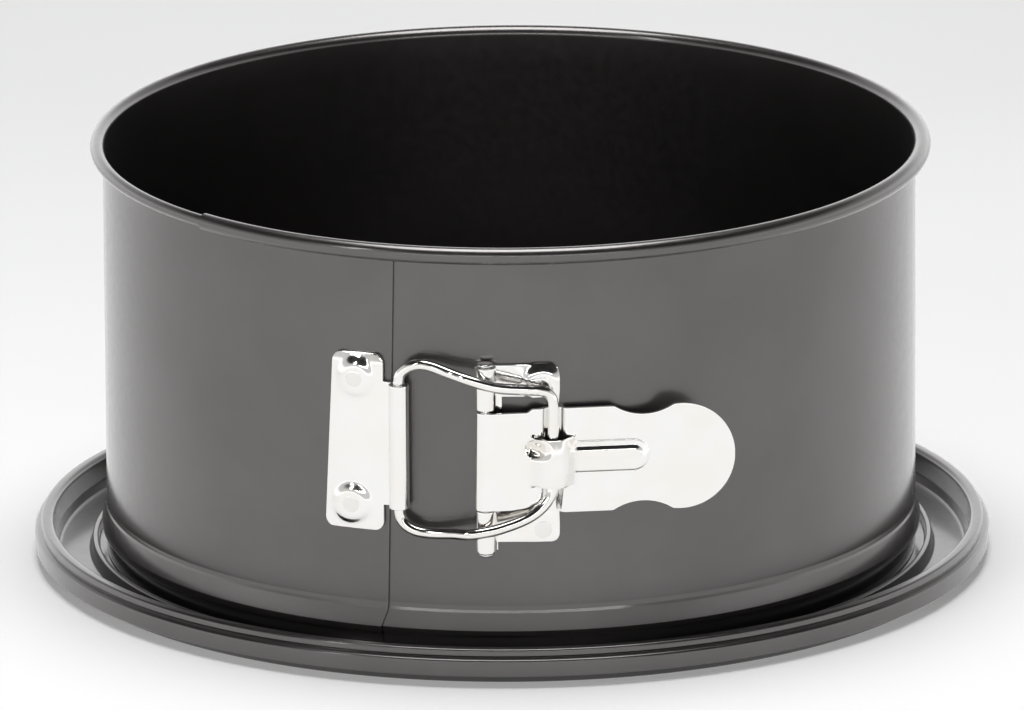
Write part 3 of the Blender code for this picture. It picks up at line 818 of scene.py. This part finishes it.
def build_lever(nickel):
    """The stamped lever, in its own frame and then turned to follow the wall."""
    columns = lever_columns()
    made = sheet_object("lever_stamped", columns, lambda i, j: False, PLATE, 0.18 * MM,
                        [nickel], even=False)
    made.matrix_world = (Matrix.Translation(PIVOT_POINT - Vector((0, 0, LEVER_DROP)))
                         @ Matrix.Rotation(LEVER_TILT, 4, "Z")
                         @ Matrix.Rotation(LEVER_SAG, 4, "Y"))
    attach(made, "lever")
    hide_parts("latch_lever")


# ---- Wire, pin and rivets ----------------------------------------------------------------
def smooth_route(points, samples):
    """A smooth curve through the points (Catmull-Rom)."""
    route = []
    last = len(points) - 1
    for i in range(last):
        p0 = points[max(i - 1, 0)]
        p1 = points[i]
        p2 = points[i + 1]
        p3 = points[min(i + 2, last)]
        for s in range(samples):
            t = s / samples
            route.append(0.5 * ((2 * p1) + (p2 - p0) * t
                                + (2 * p0 - 5 * p1 + 4 * p2 - p3) * t * t
                                + (3 * p1 - p0 - 3 * p2 + p3) * t ** 3))
    route.append(points[last])
    return route


def bail_route():
    """The wire's middle line from its end in the knuckle, round the lever and back.

    Heights are from the lever's mid-height, in mm; the arms bow out past the barrels.
    """
    hinge = HINGE_POINT / MM
    seat = WIRE_SEAT / MM
    middle = (HINGE_Z - LATCH_Z) / MM
    bow_y = (PIVOT_POINT.y - BARREL_R - PLATE / 2 - WIRE_R) / MM - 0.2
    upper = [(hinge.x, hinge.y, middle + 0.25), (hinge.x, hinge.y, middle + 9.0),
             (hinge.x, hinge.y, middle + 16.4), (-26.4, hinge.y - 0.3, 21.6),
             (-23.6, hinge.y - 1.4, 23.5), (-20.0, -102.6, 23.7), (-14.9, -104.6, 22.3),
             (-10.6, bow_y + 0.5, 21.3), (-6.3, bow_y, 20.0), (-2.4, bow_y + 0.3, 19.1),
             (3.6, -105.9, 18.4), (7.4, -105.0, 17.9), (9.4, -104.4, 16.5),
             (seat.x, seat.y, 13.8), (seat.x, seat.y, 6.5)]
    lower = [(hinge.x, hinge.y, middle - 0.25), (hinge.x, hinge.y, middle - 9.0),
             (hinge.x, hinge.y, middle - 16.2), (-26.5, hinge.y - 0.3, -16.6),
             (-23.8, hinge.y - 1.3, -18.4), (-19.8, -102.7, -18.8), (-14.9, -104.6, -18.4),
             (-10.6, bow_y + 0.5, -18.0), (-6.3, bow_y, -17.3), (-2.4, bow_y + 0.3, -16.4),
             (2.8, -106.1, -14.7), (6.4, -105.2, -12.7), (8.9, -104.5, -10.0),
             (seat.x - 0.2, seat.y, -7.4), (seat.x, seat.y, -4.5)]
    whole = upper + [(seat.x, seat.y, 0.0)] + lower[::-1]
    return [Vector((x * MM, y * MM, z * MM + LATCH_Z)) for x, y, z in whole]


def build_bail(finish):
    """The bent wire, held in the knuckle and laid in the lever's groove."""
    mesh = tube_mesh("bail_formed", smooth_route(bail_route(), 9), WIRE_R, 24)
    made = new_object("bail_formed", mesh, [finish])
    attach(made, "bail")
    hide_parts("bail_wire")


def build_pin(finish):
    """The lever's pin, with a peened head at both ends; its section is in mm."""
    half = 23.75                      # half its length between the heads
    end = half + 0.7
    head_r = 2.1
    shank_r = PIN_R / MM
    profile = [(0, end, 0), (head_r - 0.2, end, 0.45), (head_r, half, 0.25),
               (shank_r, half, 0.1), (shank_r, -half, 0.1), (head_r, -half, 0.25),
               (head_r - 0.2, -end, 0.45), (0, -end, 0)]
    mesh = turned_mesh("pin_peened", filleted(profile, 5), 40)
    made = new_object("pin_peened", mesh, [finish])
    made.matrix_world = Matrix.Translation(PIVOT_POINT)
    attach(made, "ring")
    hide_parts("pivot_pin")


def build_rivet(name, node, body, azimuth, height, face, end, finish):
    """A low rivet head in its plate, soft at the edge; face and end are in mm."""
    head_r = RIVET_HEAD_R / MM
    shank_r = head_r / 2
    profile = [(0, face + 0.42, 0), (1.5, face + 0.41, 0.5), (head_r, face + 0.34, 0.2),
               (head_r, face + 0.1, 0.05), (shank_r, face + 0.08, 0.05), (shank_r, end, 0.05),
               (0, end, 0)]
    mesh = turned_mesh(name, filleted(profile, 4), 40)
    made = new_object(name, mesh, [finish])
    made.matrix_world = (Matrix.Translation((0, 0, height))
                         @ Matrix.Rotation(math.radians(azimuth), 4, "Z")
                         @ Matrix.Rotation(math.radians(90), 4, "X"))
    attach(made, body)
    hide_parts(node)


def build_rivets(finish):
    """Two rivets in the hinge plate, on its leaning line, and two in the bracket."""
    for word, side in (("upper", 1), ("lower", -1)):
        plate_face = (HINGE_PLATE_R + PLATE / 2 + BOSS_HEIGHT) / MM - BOSS_SINK
        lean = side * 0.24
        build_rivet("hinge_rivet_head_" + word, "hinge_rivet_" + word, "band_end",
                    HINGE_RIVET_AZ + lean, HINGE_Z + side * RIVET_SPREAD, plate_face,
                    INNER_FACE_OUT / MM + 0.3, finish)
        swell = BOSS_HEIGHT if side > 0 else LOW_BOSS_HEIGHT
        plate_face = (BRACKET_R + PLATE / 2 + swell) / MM - BOSS_SINK
        build_rivet("bracket_rivet_head_" + word, "bracket_rivet_" + word, "ring",
                    BRACKET_RIVET_AZ, LATCH_Z + side * BRACKET_RIVET_SPREAD, plate_face,
                    BAND_INNER_R / MM + 0.1, finish)


# ---- Stage, light and camera -------------------------------------------------------------
FLOOR_GLOW = 0.07                 # the floor's own light near the pan and behind it
FLOOR_FRONT_GLOW = 0.27           # and in front of the picture, where the pan mirrors it
FLOOR_FAR_GLOW = 0.75             # added far away, where the softbox doesn't reach
FLOOR_HALF = 12.0
FLOOR_DARK = (0.83, 0.83, 0.83)
FLOOR_LIGHT = (0.86, 0.86, 0.86)
SKY_LEAN = -0.20                  # lifts the bright horizon behind the pan
SKY_STOPS = ((0.14, 1.0), (0.22, 0.52), (0.42, 0.45), (0.52, 0.025), (1.0, 0.012))
SKY_STRENGTH = 1.25
LIGHTS = (                        # name, place, target, size, watts
    ("softbox_top", (0.0, 0.1, 1.5), (0, 0, 0), (0.9, 0.9), 18.0),
    ("strip_front", (0.0, -2.1, 0.72), (0, 0, 0.05), (2.6, 0.09), 7.0),
    ("key_left", (-1.47, -1.52, 1.15), (0, 0, 0.05), (0.12, 0.8), 4.0),
)
CAMERA_ELEVATION = math.radians(16.3)
CAMERA_ROLL = math.radians(-0.35)
CAMERA_DISTANCE = 5.0
CAMERA_AIM = Vector((0.25 * MM, 0.0, 49.9 * MM))
FRAME_WIDTH = 254.4 * MM          # what the picture's width covers at the aim
SENSOR_WIDTH = 36.0


def build_stage():
    """A pale, faintly glowing floor, large enough to reach the horizon."""
    work = bmesh.new()
    bmesh.ops.create_grid(work, x_segments=8, y_segments=8, size=FLOOR_HALF)
    mesh = bpy.data.meshes.new("floor")
    work.to_mesh(mesh)
    work.free()
    nodes = Nodes("floor_pale")
    place = nodes.object_place()
    cloud = nodes.noise(3.0, 2.0, 0.5, place)
    colour = nodes.blend_colours(nodes.span(cloud, 0, 1), FLOOR_DARK, FLOOR_LIGHT)
    nodes.link(colour, nodes.shader.inputs["Base Color"])
    nodes.shader.inputs["Roughness"].default_value = 0.7
    split = nodes.add("ShaderNodeSeparateXYZ")
    nodes.link(place, split.inputs["Vector"])
    glow = nodes.span(split.outputs["Y"], FLOOR_FRONT_GLOW, FLOOR_GLOW, -0.30, 0.42)
    distance = nodes.add("ShaderNodeVectorMath", operation="LENGTH")
    nodes.link(place, distance.inputs[0])
    far_glow = nodes.span(distance.outputs["Value"], 0.0, FLOOR_FAR_GLOW, 0.55, 1.6)
    total = nodes.add("ShaderNodeMath", operation="ADD")
    nodes.link(glow, total.inputs[0])
    nodes.link(far_glow, total.inputs[1])
    nodes.link(total.outputs["Value"], nodes.shader.inputs["Emission Strength"])
    nodes.shader.inputs["Emission Color"].default_value = (1.0, 1.0, 1.0, 1.0)
    floor = new_object("floor", mesh, [nodes.material])


def build_world():
    """Bright round the horizon, higher behind the pan than in front, and dark overhead."""
    world = bpy.data.worlds.new("studio")
    bpy.context.scene.world = world
    bpy.context.scene.view_settings.view_transform = "Standard"
    world.use_nodes = True
    tree = world.node_tree
    background = tree.nodes["Background"]
    place = tree.nodes.new("ShaderNodeTexCoord")
    split = tree.nodes.new("ShaderNodeSeparateXYZ")
    tree.links.new(place.outputs["Generated"], split.inputs["Vector"])
    lean = tree.nodes.new("ShaderNodeMath")
    lean.operation = "MULTIPLY_ADD"
    lean.inputs[1].default_value = SKY_LEAN
    tree.links.new(split.outputs["Y"], lean.inputs[0])
    tree.links.new(split.outputs["Z"], lean.inputs[2])
    ramp = tree.nodes.new("ShaderNodeValToRGB")
    tree.links.new(lean.outputs["Value"], ramp.inputs["Fac"])
    stops = ramp.color_ramp.elements
    stops.remove(stops[1])
    for i, (position, level) in enumerate(SKY_STOPS):
        stop = stops.new(position) if i else stops[0]
        stop.position = position
        stop.color = (level, level, level, 1.0)
    tree.links.new(ramp.outputs["Color"], background.inputs["Color"])
    background.inputs["Strength"].default_value = SKY_STRENGTH


def area_light(name, place, target, size, watts):
    """A rectangular light that faces its target."""
    light = bpy.data.lights.new(name, "AREA")
    light.shape = "RECTANGLE"
    light.size, light.size_y = size
    light.energy = watts
    made = bpy.data.objects.new(name, light)
    bpy.context.scene.collection.objects.link(made)
    made.location = place
    aim = Vector(target) - Vector(place)
    made.rotation_euler = aim.to_track_quat("-Z", "Y").to_euler()


def build_camera():
    """Long lens from the front, a little above the pan, with a slight roll."""
    camera = bpy.data.cameras.new("camera")
    camera.sensor_width = SENSOR_WIDTH
    camera.lens = SENSOR_WIDTH * CAMERA_DISTANCE / FRAME_WIDTH
    camera.clip_end = 50.0
    made = bpy.data.objects.new("camera", camera)
    bpy.context.scene.collection.objects.link(made)
    back = Vector((0, -math.cos(CAMERA_ELEVATION), math.sin(CAMERA_ELEVATION)))
    made.location = CAMERA_AIM + back * CAMERA_DISTANCE
    turn = (-back).to_track_quat("-Z", "Y").to_matrix().to_4x4()
    made.rotation_euler = (turn @ Matrix.Rotation(CAMERA_ROLL, 4, "Z")).to_euler()
    bpy.context.scene.camera = made


def main():
    build_camera()
    build_world()
    for light in LIGHTS:
        area_light(*light)
    build_stage()
    band_finish = coating("band_coating_satin", (0.104, 0.097, 0.096),
                          (0.116, 0.108, 0.107), 0.33)
    base_finish = coating("base_coating_satin", (0.100, 0.094, 0.093),
                          (0.112, 0.106, 0.105), 0.30)
    nickel = bright_nickel("nickel_plate_bright", (0.885, 0.88, 0.87), 0.07, 0.13)
    wire = bright_nickel("nickel_wire_bright", (0.875, 0.865, 0.85), 0.07, 0.05)
    steel = bright_nickel("rivet_steel_bright", (0.82, 0.815, 0.805), 0.10, 0.08)
    build_base(base_finish)
    build_band(band_finish)
    build_hinge_plate(nickel)
    build_bracket(nickel)
    build_lever(nickel)
    build_bail(wire)
    build_pin(steel)
    build_rivets(steel)


main()
